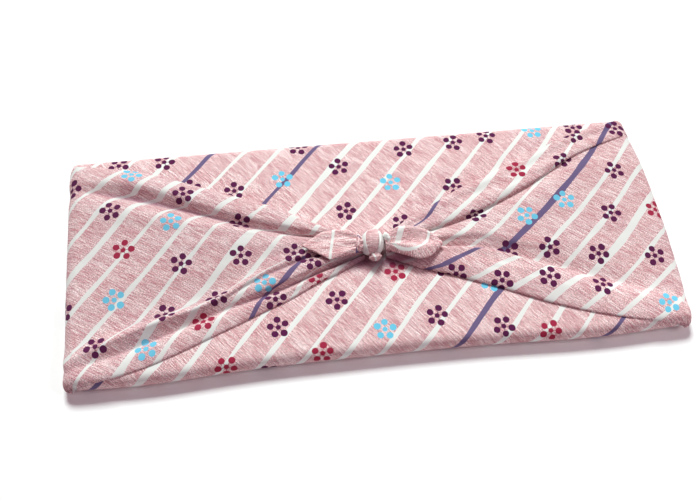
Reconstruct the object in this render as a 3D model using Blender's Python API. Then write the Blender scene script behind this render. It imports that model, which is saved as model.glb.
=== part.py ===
"""A square wrapping cloth tied round a long flat parcel.

The cloth lies under the parcel corner to corner.  Its back corner is drawn over
the top and down the front, and its left and right corners come up over the ends
and are tied above the middle in one small flat knot with two short free ends.
One piece of cloth, so one closed solid: the rounded flat parcel form, the two
gathered wings with their pleats, the knot and its two ends.

Metres, +Z up.  The parcel lies along X, its front is at -Y, and it stands on Z = 0.
"""

import bpy
import bmesh
from math import cos, sin, pi, exp
from mathutils import Vector

MM = 0.001

# ---------------------------------------------------------------- driving sizes
LENGTH = 880 * MM        # between the two folded ends, at their corners
DEPTH = 360 * MM         # front edge to back edge
THICK = 30 * MM          # parcel and cloth at the middle
EDGE_DROP = 3 * MM       # how much thinner the parcel is just inside its edges
ROLL = 13 * MM           # how far the rounded rim reaches out past the flat top
CORNER = 8 * MM          # size of the parcel's corners, seen from above
SQUARE = 6               # 2 is a round corner, more is a squarer one
END_BULGE = 10 * MM      # the right end is pushed out at its middle
FRONT_BULGE = 7 * MM     # the front edge sags out to the left and right of its middle
CENTRE_X = 4.80 * MM     # brings the middle of the whole form over the origin
CENTRE_Y = -4.15 * MM

RIM_STEPS = 6            # faces round the rim, from the top to the underside
TOP_STEPS_X = 26
TOP_STEPS_Y = 12
FOLD_STEPS = 2           # faces across a wing from one line of its table to the next
WRAP_TURN = 2.75         # how far a wing goes round the end's rim, in radians from the top
END_TUCK = 0.08          # how much narrower a wing is drawn in under the rim
SKIN = 4 * MM            # how deep a wing's solid reaches into the parcel's end
CORE = 0.6               # the height of its inner face, as a share of the parcel's

# ---------------------------------------------------------------- the two wings
# Each wing runs from its end of the parcel to the knot.  Its pleats are lines along it:
# one row for each line, from the back of the wing to its front.  y is where the line
# lies and h how far it stands above the parcel's top, in millimetres, at the named
# distances from the middle.
LEFT_AT = (-445, -340, -240, -140, -60, -14)
LEFT_WING = (
    # name,             y at each station,                  h at each station
    ("back foot",       (174, 150, 109, 65, 18, -9),        (0.0, 0.0, 0.0, 0.0, 1.0, 2.0)),
    ("back slope",      (168, 141, 100, 57, 15, -10),       (1.6, 6.0, 6.5, 7.5, 9.0, 9.0)),
    ("back crest",      (145, 120, 74, 34, 7, -12),         (3.0, 12.4, 12.4, 12.2, 13.0, 12.0)),
    ("crest face",      (133, 107, 66, 26.5, 3, -14),       (1.8, 5.4, 5.0, 4.2, 8.0, 10.0)),
    ("back trough",     (126, 99, 61, 21.5, 1, -15),        (1.2, 0.8, 0.8, 0.8, 3.0, 7.0)),
    ("second rise",     (118, 88, 50, 16.5, -2, -16),       (1.6, 8.0, 8.0, 5.0, 7.0, 10.0)),
    ("second crest",    (104, 70, 35, 8, -7, -18),          (2.6, 16.0, 16.0, 11.5, 10.5, 11.0)),
    ("middle, back",    (60, 32, 4, -6, -11, -20),          (2.8, 11.5, 13.5, 11.0, 10.5, 11.0)),
    ("middle, front",   (-60, -40, -38, -22, -14.5, -22),   (2.0, 5.0, 7.5, 8.5, 9.5, 10.0)),
    ("third rise",      (-132, -98, -75, -33, -17, -23),    (1.0, 1.0, 2.4, 9.0, 10.0, 10.5)),
    ("third crest",     (-150, -112, -86, -40, -20.5, -24), (2.6, 11.0, 13.0, 9.0, 9.5, 10.5)),
    ("third dip",       (-153, -116.5, -90, -44.5, -23.5, -25), (2.2, 8.4, 9.6, 5.5, 6.5, 9.5)),
    ("lower crest",     (-155, -120.5, -93, -54, -31, -28), (1.9, 6.0, 6.8, 11.5, 12.0, 11.0)),
    ("lower lip",       (-157, -124.5, -96, -66, -40, -30), (1.5, 3.8, 4.0, 11.0, 12.5, 10.5)),
    ("dark valley",     (-162, -132, -101, -73.5, -44.5, -32.5), (1.0, 0.8, 0.6, 0.6, 0.8, 3.0)),
    ("front shoulder",  (-168, -137, -105, -77, -46.5, -33.5), (1.8, 3.4, 4.4, 4.4, 4.6, 6.0)),
    ("front roll",      (-175, -145, -113, -83, -50.5, -35), (2.2, 4.4, 5.6, 5.8, 6.4, 8.0)),
    ("front lip",       (-181, -159.5, -128, -90.5, -55, -37), (1.8, 3.0, 3.6, 4.0, 4.6, 6.0)),
    ("front edge",      (-184.5, -163.5, -132, -95, -58, -38), (1.0, 1.4, 1.6, 1.9, 2.3, 3.0)),
    ("front foot",      (-184, -163, -131.4, -94.4, -57.4, -37.6), (-1.0, -0.6, -0.6, -0.6, -0.6, -0.6)),
)
RIGHT_AT = (445, 340, 240, 140, 60, 14)
RIGHT_WING = (
    ("back foot",       (178, 149, 107.5, 64, 20.5, -8),    (0.0, 0.0, 0.0, 0.0, 1.0, 2.0)),
    ("first crest",     (172, 142, 99.5, 56, 14, -11),      (1.8, 5.0, 7.0, 8.5, 11.5, 11.5)),
    ("first dip",       (166, 133, 88, 46, 8, -13),         (1.4, 3.8, 5.4, 7.0, 10.0, 11.0)),
    ("overlap crest",   (154, 119, 66, 24, -1, -16),        (2.0, 7.6, 9.4, 9.6, 11.0, 11.5)),
    ("overlap edge",    (148, 112.5, 59.5, 17.5, -5.5, -18), (1.6, 5.6, 6.2, 6.2, 8.5, 10.5)),
    ("lower layer",     (143, 107, 54, 13, -9, -19),        (1.2, 3.4, 2.0, 1.2, 3.5, 9.0)),
    ("middle, back",    (104, 78, 40, 4, -13, -21),         (2.6, 8.6, 8.6, 6.5, 8.0, 11.0)),
    ("middle",          (40, 10, -2, -6, -16, -22),         (2.2, 7.0, 8.4, 9.0, 9.5, 11.0)),
    ("middle, front",   (-40, -56, -42, -16, -18, -24),     (1.8, 5.8, 8.6, 10.2, 10.5, 10.5)),
    ("front fall",      (-112, -88, -58, -24.5, -21.5, -25), (1.4, 3.4, 5.2, 7.6, 8.5, 9.5)),
    ("front valley",    (-150, -109, -70, -33, -27, -28),   (1.0, 0.8, 0.6, 0.6, 0.8, 4.0)),
    ("roll shoulder",   (-155, -115, -73.5, -38, -29, -29), (1.4, 3.2, 4.5, 4.5, 4.5, 7.0)),
    ("roll crest",      (-163, -123, -79, -42, -32.5, -31), (2.4, 6.6, 12.0, 13.5, 13.0, 11.5)),
    ("fat roll",        (-172, -138, -97, -57, -42.5, -33), (2.5, 6.6, 12.0, 13.5, 12.5, 11.0)),
    ("roll front",      (-180, -154, -120, -79, -54.5, -36.5), (2.0, 4.6, 7.0, 9.0, 9.0, 8.5)),
    ("front edge",      (-185.5, -161.5, -131.5, -91, -61, -38.5), (1.2, 1.7, 2.2, 2.7, 3.2, 4.0)),
    ("front foot",      (-185, -161, -131, -90.4, -60.4, -38), (-1.0, -0.6, -0.6, -0.6, -0.6, -0.6)),
)
# The knot pulls the wings down along soft troughs, each given by its ends on the
# parcel, how wide it is and how deep, in millimetres.
DIPS = (
    # from,        to,            wide, deep
    ((95, 47),     (300, 136),    15,   2.2),
    ((-60, -2),    (-370, 112),   14,   4.0),
    ((-60, -37),   (-400, -152),  12,   2.5),
    ((80, -31),    (360, -118),   12,   2.5),
)

# ---------------------------------------------------------------- the knot and its ends
# One row for each section along X: its place, the middle of the section in Y and Z,
# its half width in Y and its half height in Z, in millimetres.
KNOT = (
    # x,    y,    z,    half_y, half_z
    (-21,  -22,   42,   12,     9),
    (-16,  -22,   45,   19,     16),
    (-9,   -22,   46,   21.5,   18.5),
    (0,    -22,   46,   22,     19),
    (9,    -23,   46,   21,     18),
    (14,   -23,   44,   17,     14),
    (18,   -24,   42,   10,     8),
)
CURL = (
    (-16,  -43,   38,   3,      3),
    (-11,  -46,   39,   7,      6),
    (-4,   -47,   39,   8,      7),
    (3,    -46,   39,   6,      6),
    (7,    -43,   38,   2.5,    3),
)
LEFT_EAR = (
    (-12,  -18,   44,   8,      6),
    (-30,  -17,   45.5, 14,     5.5),
    (-50,  -17,   46,   20,     4.5),
    (-67,  -19,   46,   23,     4),
    (-80,  -16,   45,   18,     3.6),
    (-92,  -15,   44,   11,     3.2),
    (-104, -16,   43,   3.5,    2.4),
)
RIGHT_EAR = (
    (10,   -24,   45,   9,      7),
    (24,   -24,   47,   16,     8.5),
    (40,   -26,   48,   22,     9.5),
    (56,   -29,   47.5, 25,     9),
    (70,   -30,   46,   23,     7.5),
    (84,   -31,   44.5, 15,     5.5),
    (97,   -34,   43,   3.5,    2.4),
)
ROUND = 14               # sides of a knot or end section


# ---------------------------------------------------------------- the parcel form
def ease(t):
    t = max(0.0, min(1.0, t))
    return t * t * (3 - 2 * t)


def hump(x, middle, width):
    return exp(-((x - middle) / width) ** 2)


def top_height(x, y):
    """The parcel's thickness at a place on its flat top."""
    u, v = abs(x) / (LENGTH / 2), abs(y) / (DEPTH / 2)
    return THICK - EDGE_DROP * (1 - (1 - min(u, 1.0) ** 8) * (1 - min(v, 1.0) ** 6))


def pressed(x, y):
    """How far the wings are pulled down at a place by the troughs of the table."""
    deep = 0.0
    for start, end, wide, most in DIPS:
        ax, ay, bx, by = (v * MM for v in (*start, *end))
        dx, dy = bx - ax, by - ay
        size = dx * dx + dy * dy
        t = ((x - ax) * dx + (y - ay) * dy) / size
        off = ((x - ax) * dy - (y - ay) * dx) / size ** 0.5
        deep += most * MM * exp(-(off / (wide * MM)) ** 2) * ease(t * 5 + 0.6) * ease((1 - t) * 5 + 0.6)
    return deep


def outline(x, y):
    """Pushes the plain rectangle out to the soft outline of the filled cloth."""
    if x > 0:
        x += END_BULGE * ease(x / (LENGTH / 2)) * (1 - min(1.0, abs(y) / (DEPTH / 2)) ** 2)
    if y < 0:
        sag = hump(x, -0.34, 0.11) + 1.2 * hump(x, 0.31, 0.15)
        y -= FRONT_BULGE * sag * ease(-y / (DEPTH / 2))
    return x, y


def parcel_point(a, b):
    """The point of the cloth that lies a along X and b along Y from the middle,
    measured over the surface: flat on top, then round the rim to the underside."""
    run = (ROLL + THICK / 2) / 2
    inner_x, inner_y = LENGTH / 2 - ROLL - CORNER, DEPTH / 2 - ROLL - CORNER
    p, q = max(0.0, abs(a) - inner_x), max(0.0, abs(b) - inner_y)
    far = max(p, q)
    turn = max(0.0, far - CORNER) / run
    reach = min(far, CORNER) + ROLL * sin(turn)
    norm = max((p ** SQUARE + q ** SQUARE) ** (1 / SQUARE), 1e-9)
    x = inner_x + reach * p / norm if p > 0 else abs(a)
    y = inner_y + reach * q / norm if q > 0 else abs(b)
    x, y = (x if a >= 0 else -x), (y if b >= 0 else -y)
    z = top_height(x, y) * (1 + cos(turn)) / 2
    x, y = outline(x, y)
    return Vector((x, y, z))


def stations(half, steps):
    """Places over the surface from one underside edge to the other."""
    run = (ROLL + THICK / 2) / 2
    inner = half - ROLL - CORNER
    rim = [inner + CORNER + pi * run * k / RIM_STEPS for k in range(RIM_STEPS, -1, -1)]
    rim.append(inner + CORNER / 2)
    top = [inner * (1 - 2 * k / steps) for k in range(steps + 1)]
    return [-s for s in rim] + [-t for t in top] + [s for s in reversed(rim)]


def parcel_mesh():
    bm = bmesh.new()
    at_x, at_y = stations(LENGTH / 2, TOP_STEPS_X), stations(DEPTH / 2, TOP_STEPS_Y)
    grid = [[bm.verts.new(parcel_point(a, b)) for b in at_y] for a in at_x]
    last_x, last_y = len(at_x) - 1, len(at_y) - 1
    for i in range(last_x):
        for j in range(last_y):
            bm.faces.new((grid[i][j], grid[i + 1][j], grid[i + 1][j + 1], grid[i][j + 1]))
    under = [grid[i][0] for i in range(last_x)]
    under += [grid[last_x][j] for j in range(last_y)]
    under += [grid[i][last_y] for i in range(last_x, 0, -1)]
    under += [grid[0][j] for j in range(last_y, 0, -1)]
    for v in under:
        v.co.z = 0.0
    bm.faces.new(list(reversed(under)))
    return bm


# ---------------------------------------------------------------- smooth tables
def between(values, t):
    """A smooth curve through evenly numbered values, at place t, that never runs past them."""
    n = len(values) - 1
    k = max(0, min(n - 1, int(t)))
    f = t - k
    steps = [values[i + 1] - values[i] for i in range(n)]

    def slope(i):
        one, two = steps[max(0, i - 1)], steps[min(n - 1, i)]
        return 2 * one * two / (one + two) if one * two > 0 else 0.0

    return (2 * f ** 3 - 3 * f ** 2 + 1) * values[k] + (f ** 3 - 2 * f ** 2 + f) * slope(k) \
        + (-2 * f ** 3 + 3 * f ** 2) * values[k + 1] + (f ** 3 - f ** 2) * slope(k + 1)


def wing_place(at, column_t):
    """The distance from the middle at a place counted in stations."""
    k = max(0, min(len(at) - 2, int(column_t)))
    return (at[k] + (at[k + 1] - at[k]) * (column_t - k)) * MM


def rim_height(x, y, turn):
    """The parcel's surface under a wing, the end's rim turned by turn."""
    over = max(0.0, min(1.0, (abs(y) - (DEPTH / 2 - ROLL)) / ROLL))
    side = (1 + (1 - over * over) ** 0.5) / 2
    return top_height(x, y) * side * (1 + cos(turn)) / 2


def wing_mesh(at, rows):
    """One wing as a closed solid: its pleated outside, and an inner face sunk in the parcel."""
    side = -1 if at[0] < 0 else 1
    end = LENGTH / 2 - ROLL
    run = (ROLL + THICK / 2) / 2
    across = FOLD_STEPS * (len(rows) - 1)
    columns = []                                   # (column in the table, turn round the end's rim)
    columns += [(0.0, WRAP_TURN * k / 6) for k in range(6, 0, -1)]
    steps = 4
    first = (abs(at[0]) * MM - end) / ((abs(at[0]) - abs(at[1])) * MM)
    columns.append((first, 0.0))
    columns += [(k / steps, 0.0) for k in range(1, steps * (len(at) - 1) + 1)]
    bm = bmesh.new()
    outer, inner = [], []
    for place, turn in columns:
        x = wing_place(at, place) if turn == 0 else side * (end + ROLL * sin(turn))
        tuck = 1 - END_TUCK * ease(turn / WRAP_TURN)
        back, front = between(rows[0][1], place) * tuck, between(rows[-1][1], place) * tuck
        line, sunk = [], []
        for j in range(across + 1):
            t = j / FOLD_STEPS
            y = between([between(r[1], place) for r in rows], t) * tuck * MM
            h = between([between(r[2], place) for r in rows], t) * MM
            h -= (h + 1.2 * MM) * min(1.0, turn / WRAP_TURN) ** 3
            px, py = outline(x, y)
            away = Vector((side * sin(turn), 0, cos(turn)))
            over = Vector((px, py, rim_height(x, y, turn) - pressed(x, y) * cos(turn / 2) ** 2))
            line.append(bm.verts.new(over + away * h))
            y = (back + (front - back) * (0.01 + 0.98 * j / across)) * MM
            px, py = outline(x, y)
            px -= side * SKIN * sin(turn)
            sunk.append(bm.verts.new((px, py * 0.99, rim_height(x, y, 0.0) * (1 + CORE * cos(turn)) / 2)))
        outer.append(line)
        inner.append(sunk)

    def face(*corners):
        bm.faces.new(corners if side < 0 else tuple(reversed(corners)))

    last = len(columns) - 1
    for i in range(last):
        for j in range(across):
            face(outer[i][j], outer[i][j + 1], outer[i + 1][j + 1], outer[i + 1][j])
            face(inner[i][j], inner[i + 1][j], inner[i + 1][j + 1], inner[i][j + 1])
        face(outer[i][0], outer[i + 1][0], inner[i + 1][0], inner[i][0])
        face(outer[i][across], inner[i][across], inner[i + 1][across], outer[i + 1][across])
    for j in range(across):
        face(outer[0][j], inner[0][j], inner[0][j + 1], outer[0][j + 1])
        face(outer[last][j], outer[last][j + 1], inner[last][j + 1], inner[last][j])
    return bm


def lump_mesh(rows):
    """A rounded solid through the sections of a table."""
    rows = sorted(rows)
    bm = bmesh.new()
    rings = []
    for x, y, z, half_y, half_z in rows:
        ring = []
        for k in range(ROUND):
            w = 2 * pi * (k + 0.5) / ROUND
            ring.append(bm.verts.new((x * MM, (y + half_y * cos(w)) * MM, (z + half_z * sin(w)) * MM)))
        rings.append(ring)
    for one, two in zip(rings, rings[1:]):
        for k in range(ROUND):
            n = (k + 1) % ROUND
            bm.faces.new((one[k], one[n], two[n], two[k]))
    bm.faces.new(list(reversed(rings[0])))
    bm.faces.new(rings[-1])
    return bm


# ---------------------------------------------------------------- objects
def cloth_material():
    mat = bpy.data.materials.new("printed_cotton")
    mat.use_nodes = True
    shader = mat.node_tree.nodes["Principled BSDF"]
    shader.inputs["Base Color"].default_value = (0.72, 0.34, 0.36, 1)
    shader.inputs["Roughness"].default_value = 0.85
    shader.inputs["Metallic"].default_value = 0.0
    return mat


def add(name, bm, mat, guide=False):
    for v in bm.verts:
        v.co.x -= CENTRE_X
        v.co.y -= CENTRE_Y
    bmesh.ops.triangulate(bm, faces=[f for f in bm.faces if len(f.verts) == 4])
    mesh = bpy.data.meshes.new(name)
    bm.to_mesh(mesh)
    bm.free()
    mesh.materials.append(mat)
    ob = bpy.data.objects.new(name, mesh)
    bpy.context.scene.collection.objects.link(ob)
    if guide:
        ob.hide_render = True
        ob.display_type = "WIRE"
    return ob


def main():
    for old in list(bpy.data.objects):
        bpy.data.objects.remove(old, do_unlink=True)
    mat = cloth_material()
    wrap = add("furoshiki", parcel_mesh(), mat)
    shapes = (
        ("left_wing_form", wing_mesh(LEFT_AT, LEFT_WING)),
        ("right_wing_form", wing_mesh(RIGHT_AT, RIGHT_WING)),
        ("knot_form", lump_mesh(KNOT)),
        ("curl_form", lump_mesh(CURL)),
        ("left_end_form", lump_mesh(LEFT_EAR)),
        ("right_end_form", lump_mesh(RIGHT_EAR)),
    )
    for name, bm in shapes:
        form = add(name, bm, mat, guide=True)
        join = wrap.modifiers.new("with_" + name, "BOOLEAN")
        join.operation = "UNION"
        join.solver = "EXACT"
        join.object = form
    wrap.data.shade_smooth()
    wrap.data.set_sharp_from_angle(angle=0.7)


main()
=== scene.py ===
"""The looks of a square wrapping cloth tied round a long flat parcel.

The cloth shows as a panel drawn over the parcel, two wings gathered in pleats from
the parcel's ends to the middle, a flat knot and its two short free ends.  Every
surface is a grid over the cloth, with the cloth's own coordinates on it, so the
stripes, blossoms and slubs of the print run over the folds as they do on cloth.

Metres, +Z up.  The parcel lies along X and its front is at -Y.
"""

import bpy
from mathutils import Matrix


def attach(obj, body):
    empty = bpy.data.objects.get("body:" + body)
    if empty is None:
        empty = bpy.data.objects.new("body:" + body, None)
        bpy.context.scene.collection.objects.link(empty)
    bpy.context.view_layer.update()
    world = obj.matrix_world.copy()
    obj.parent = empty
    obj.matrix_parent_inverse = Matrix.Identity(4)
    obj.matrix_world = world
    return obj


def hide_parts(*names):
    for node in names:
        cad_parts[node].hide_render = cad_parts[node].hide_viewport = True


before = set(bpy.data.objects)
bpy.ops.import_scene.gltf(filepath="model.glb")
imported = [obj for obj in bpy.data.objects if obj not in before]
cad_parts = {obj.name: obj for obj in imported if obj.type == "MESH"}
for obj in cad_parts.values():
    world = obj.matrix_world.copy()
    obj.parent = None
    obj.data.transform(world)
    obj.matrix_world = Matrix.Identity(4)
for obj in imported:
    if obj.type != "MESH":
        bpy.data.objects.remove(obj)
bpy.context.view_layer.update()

from math import cos, sin, pi, radians
import bpy
import numpy as np

MM = 0.001

# ------------------------------------------------------------------ driving sizes
LENGTH = 880 * MM        # between the two folded ends
DEPTH = 360 * MM         # front edge to back edge
THICK = 30 * MM          # parcel and cloth at the middle
EDGE_DROP = 3 * MM       # how much thinner it is just inside its edges
ROLL = 13 * MM           # how far the rounded rim reaches out past the flat top
CORNER = 8 * MM         # size of the corners, seen from above
SQUARE = 6               # 2 is a round corner, more is a squarer one
END_BULGE = 10 * MM
FRONT_BULGE = 7 * MM
CENTRE_X = 4.80 * MM     # the middle of the whole form
CENTRE_Y = -4.15 * MM
RUN = (ROLL + THICK / 2) / 2     # cloth that goes round the rim, for each radian
WRAP_TURN = 2.75
END_TUCK = 0.08
CLOTH = 0.7 * MM         # how thick the cloth is
LEAN = radians(48)       # the stripes' lean, from the long side
MESH = 2.6 * MM          # size of the grid on the large surfaces


# ------------------------------------------------------------------ small helpers
def ease(t):
    t = np.clip(t, 0.0, 1.0)
    return t * t * (3 - 2 * t)


def hump(x, middle, width):
    return np.exp(-((x - middle) / width) ** 2)


def ripple(x, y, seed):
    """Smooth unevenness from -1 to 1, about one wave to the unit."""
    table = np.random.RandomState(seed).uniform(-1, 1, (61, 61))
    i, j = np.floor(x).astype(int), np.floor(y).astype(int)
    f, g = ease(x - i), ease(y - j)
    low = table[i % 61, j % 61] * (1 - f) + table[(i + 1) % 61, j % 61] * f
    high = table[i % 61, (j + 1) % 61] * (1 - f) + table[(i + 1) % 61, (j + 1) % 61] * f
    return low * (1 - g) + high * g


def along(values, t):
    """A smooth curve through evenly numbered values at places t, that never runs past them."""
    values = np.asarray(values, float)
    n = len(values) - 1
    steps = np.diff(values)
    one, two = np.concatenate([steps[:1], steps]), np.concatenate([steps, steps[-1:]])
    both = one * two
    slope = np.where(both > 0, 2 * both / np.where(both > 0, one + two, 1), 0.0)
    k = np.clip(np.floor(t).astype(int), 0, n - 1)
    f = t - k
    return ((2 * f ** 3 - 3 * f ** 2 + 1) * values[k] + (f ** 3 - 2 * f ** 2 + f) * slope[k]
            + (-2 * f ** 3 + 3 * f ** 2) * values[k + 1] + (f ** 3 - f ** 2) * slope[k + 1])


def through(points, counts, closed=False):
    """Smooth curves through points[row, column, axis], going from row to row, with
    counts[k] steps from row k to row k + 1.  Every column is a curve of its own."""
    points = np.asarray(points, float)
    n = len(points)
    if closed:
        ring = np.concatenate([points[-1:], points, points[:2]])
    else:
        ring = np.concatenate([2 * points[:1] - points[1:2], points, 2 * points[-1:] - points[-2:-1]])
    out = []
    for k in range(n if closed else n - 1):
        p0, p1, p2, p3 = ring[k], ring[k + 1], ring[k + 2], ring[k + 3]

        def gap(a, b):
            return np.maximum(np.sqrt(((b - a) ** 2).sum(-1, keepdims=True)), 1e-6) ** 0.5

        d0, d1, d2 = gap(p0, p1), gap(p1, p2), gap(p2, p3)
        m1 = p2 - p1 + d1 * ((p1 - p0) / d0 - (p2 - p0) / (d0 + d1))
        m2 = p2 - p1 + d1 * ((p3 - p2) / d2 - (p3 - p1) / (d1 + d2))
        for s in range(counts[k]):
            f = s / counts[k]
            out.append((2 * f ** 3 - 3 * f ** 2 + 1) * p1 + (f ** 3 - 2 * f ** 2 + f) * m1
                       + (-2 * f ** 3 + 3 * f ** 2) * p2 + (f ** 3 - f ** 2) * m2)
    if not closed:
        out.append(points[-1])
    return np.array(out)


# ------------------------------------------------------------------ the print, as charts
# Places on the cloth are given across the stripes (p) and along them (q), in millimetres
# from the middle.  A stripe row is its place, its width and its dye.
WHITE, SLATE = 0.0, 1.0
PANEL_STRIPES = (
    # p,    wide, dye
    (-412,   9,  WHITE), (-371, 10, WHITE), (-327, 10, WHITE), (-284, 8, SLATE),
    (-246,   8,  WHITE), (-204,  7, WHITE), (-161,  8, SLATE), (-118, 13, WHITE),
    (-80,   11,  WHITE), (-39,   9, WHITE), (3,     9, WHITE), (46,   8, WHITE),
    (88,     9,  WHITE), (127,   9, WHITE), (167,   9, WHITE), (209,  9, SLATE),
    (252,    9,  WHITE), (292,  10, WHITE), (332,   9, WHITE), (371, 10, SLATE),
    (412,    9,  WHITE),
)
# A blossom row is its place, its dye and its turn in degrees.
PLUM, CRIMSON, SKY = 0, 1, 2
PANEL_BLOSSOMS = (
    # p,    q,    dye,    turn
    (-383, -124, PLUM, 49), (-332, -78, PLUM, 30), (-212, -57, PLUM, 11),
    (-166, 3, SKY, 12), (-184, 67, PLUM, 22), (-110, 73, PLUM, 8),
    (-55, 13, PLUM, 30), (-29, 96, SKY, 12), (-47, 161, PLUM, 11),
    (9, 219, PLUM, 25), (45, 262, PLUM, 28), (100, 316, SKY, 11),
    (51, 147, PLUM, 51), (25, 45, PLUM, 37), (151, 361, PLUM, 31),
    (-269, -92, PLUM, 16), (285, 26, CRIMSON, 37), (229, -10, PLUM, 43),
    (146, -53, PLUM, 28), (98, -113, SKY, 19), (61, -29, CRIMSON, 71),
    (18, -115, PLUM, 55), (48, -192, CRIMSON, 20), (-24, -197, PLUM, 7),
    (-48, -282, CRIMSON, 54), (8, -262, PLUM, 61), (179, 38, SKY, 35),
    (109, 17, PLUM, 57),
)


def longer_stripes(rows):
    """The chart carried on at both its ends in the same rhythm."""
    rows = list(rows)
    wide = (9, 11, 8, 10, 9)
    for k in range(1, 15):
        dye = SLATE if k % 5 == 3 else WHITE
        rows.append((rows[-1][0] + 41, wide[k % 5], dye))
        rows.insert(0, (rows[0][0] - 41, wide[(k + 2) % 5], dye))
    return rows


def filled_blossoms(rows, charted):
    """The chart with blossoms set out by rule where charted(p, q) says that it has none."""
    rows = list(rows)
    dyes = (PLUM, SKY, PLUM, CRIMSON, PLUM, PLUM, SKY, PLUM, PLUM, CRIMSON, PLUM)
    for i in range(-16, 17):
        for j in range(-12, 13):
            p = i * 62 + 9 * sin(5.1 * i + 2.3 * j)
            q = j * 96 + (48 if i % 2 else 0) + 12 * sin(3.7 * i - 4.1 * j)
            if charted(p, q) or any((p - r[0]) ** 2 + (q - r[1]) ** 2 < 50 ** 2 for r in rows):
                continue
            rows.append((p, q, dyes[(3 * i + 7 * j) % 11], (37 * i + 53 * j) % 72))
    return rows


def plan(p, q):
    """Where a charted place lies, along X and Y in millimetres."""
    return p * sin(LEAN) + q * cos(LEAN), q * sin(LEAN) - p * cos(LEAN)


def on_top(p, q):
    x, y = plan(p, q)
    return abs(x) < 462 and abs(y) < 205


DYES = {          # red, green, blue, and how strongly the threads between the dots show
    PLUM: (0.095, 0.010, 0.065, 1.0),
    CRIMSON: (0.37, 0.022, 0.062, 1.0),
    SKY: (0.16, 0.59, 0.80, 0.0),
}


def chart_on(mesh, places, flats, stripes, blossoms):
    """Gives every face the stripe nearest to places and the blossom nearest to flats, in metres."""
    stripes = np.array(stripes, float)
    gap = np.abs(places[:, 0:1] / MM - stripes[None, :, 0]) - stripes[None, :, 1] / 2
    near = stripes[gap.argmin(1)]
    rows = np.stack([near[:, 0] * MM, near[:, 1] * MM / 2, near[:, 2]], 1)
    mesh.attributes.new("stripe", "FLOAT_VECTOR", "FACE").data.foreach_set("vector", rows.ravel().astype(np.float32))
    if len(blossoms) == 0:
        blossoms = [(9000, 9000, PLUM, 0)]
    spots = np.array([(b[0] * MM, b[1] * MM) for b in blossoms])
    away = ((flats[:, None, :] - spots[None]) ** 2).sum(2)
    pick = away.argmin(1)
    rows = np.stack([spots[pick, 0], spots[pick, 1], np.radians([blossoms[k][3] for k in pick])], 1)
    mesh.attributes.new("blossom", "FLOAT_VECTOR", "FACE").data.foreach_set("vector", rows.ravel().astype(np.float32))
    dye = np.array([DYES[int(blossoms[k][2])] for k in pick])
    mesh.attributes.new("dye", "FLOAT_COLOR", "FACE").data.foreach_set("color", dye.ravel().astype(np.float32))


# ------------------------------------------------------------------ the parcel's form
DIPS = (
    # a soft trough pressed into the parcel's top: from, to, how wide, how deep, in millimetres
    ((95, 47), (300, 136), 15, 2.2),
    ((-60, -2), (-370, 112), 14, 4.0),
    ((-60, -37), (-400, -152), 12, 2.5),
    ((80, -31), (360, -118), 12, 2.5),
)


def from_line(x, y, start, end):
    """How far places are from a line, and how far along it they are, from 0 to 1."""
    ax, ay, bx, by = (v * MM for v in (*start, *end))
    dx, dy = bx - ax, by - ay
    size = dx * dx + dy * dy
    t = ((x - ax) * dx + (y - ay) * dy) / size
    return ((x - ax) * dy - (y - ay) * dx) / size ** 0.5, t


def top_height(x, y):
    u, v = np.abs(x) / (LENGTH / 2), np.abs(y) / (DEPTH / 2)
    flat = (1 - np.minimum(u, 1.0) ** 8) * (1 - np.minimum(v, 1.0) ** 6)
    z = THICK - EDGE_DROP * (1 - flat)
    z = z + 0.45 * MM * flat * ripple(x / 0.085 + 7, y / 0.06 + 3, 5)
    for start, end, wide, deep in DIPS:
        off, t = from_line(x, y, start, end)
        z = z - deep * MM * np.exp(-(off / (wide * MM)) ** 2) * ease(t * 5 + 0.6) * ease((1 - t) * 5 + 0.6)
    return z


def outline(x, y):
    """Pushes the plain rectangle out to the soft outline of the filled cloth."""
    side = np.clip(x / (LENGTH / 2), 0, 1)
    x = x + END_BULGE * ease(side) * (1 - np.minimum(1.0, np.abs(y) / (DEPTH / 2)) ** 2)
    sag = hump(x, -0.34, 0.11) + 1.2 * hump(x, 0.31, 0.15)
    y = y - FRONT_BULGE * sag * ease(-y / (DEPTH / 2))
    return x, y


def parcel_points(a, b):
    """The points of the cloth that lie a along X and b along Y from the middle,
    measured over the surface: flat on top, then round the rim to the underside."""
    inner_x, inner_y = LENGTH / 2 - ROLL - CORNER, DEPTH / 2 - ROLL - CORNER
    p, q = np.maximum(0.0, np.abs(a) - inner_x), np.maximum(0.0, np.abs(b) - inner_y)
    far = np.maximum(p, q)
    turn = np.maximum(0.0, far - CORNER) / RUN
    reach = np.minimum(far, CORNER) + ROLL * np.sin(turn)
    norm = np.maximum((p ** SQUARE + q ** SQUARE) ** (1 / SQUARE), 1e-9)
    x = np.where(p > 0, inner_x + reach * p / norm, np.abs(a))
    y = np.where(q > 0, inner_y + reach * q / norm, np.abs(b))
    x, y = np.where(a >= 0, x, -x), np.where(b >= 0, y, -y)
    z = top_height(x, y) * (1 + np.cos(turn)) / 2
    x, y = outline(x, y)
    return np.stack([x, y, z], -1)


def rim_height(x, y, turn):
    """The parcel's surface under a wing, the end's rim turned by turn."""
    over = np.clip((np.abs(y) - (DEPTH / 2 - ROLL)) / ROLL, 0.0, 1.0)
    side = (1 + np.sqrt(1 - over * over)) / 2
    return top_height(x, y) * side * (1 + np.cos(turn)) / 2


def surface_stations(half, rim_steps=14):
    inner = half - ROLL - CORNER
    rim = [inner + CORNER + pi * RUN * k / rim_steps for k in range(rim_steps, -1, -1)]
    rim += [inner + CORNER * k / 5 for k in range(4, 0, -1)]
    steps = int(round(2 * inner / (3.0 * MM)))
    top = [inner * (1 - 2 * k / steps) for k in range(steps + 1)]
    return np.array([-s for s in rim] + [-t for t in top] + [s for s in reversed(rim)])


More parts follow.
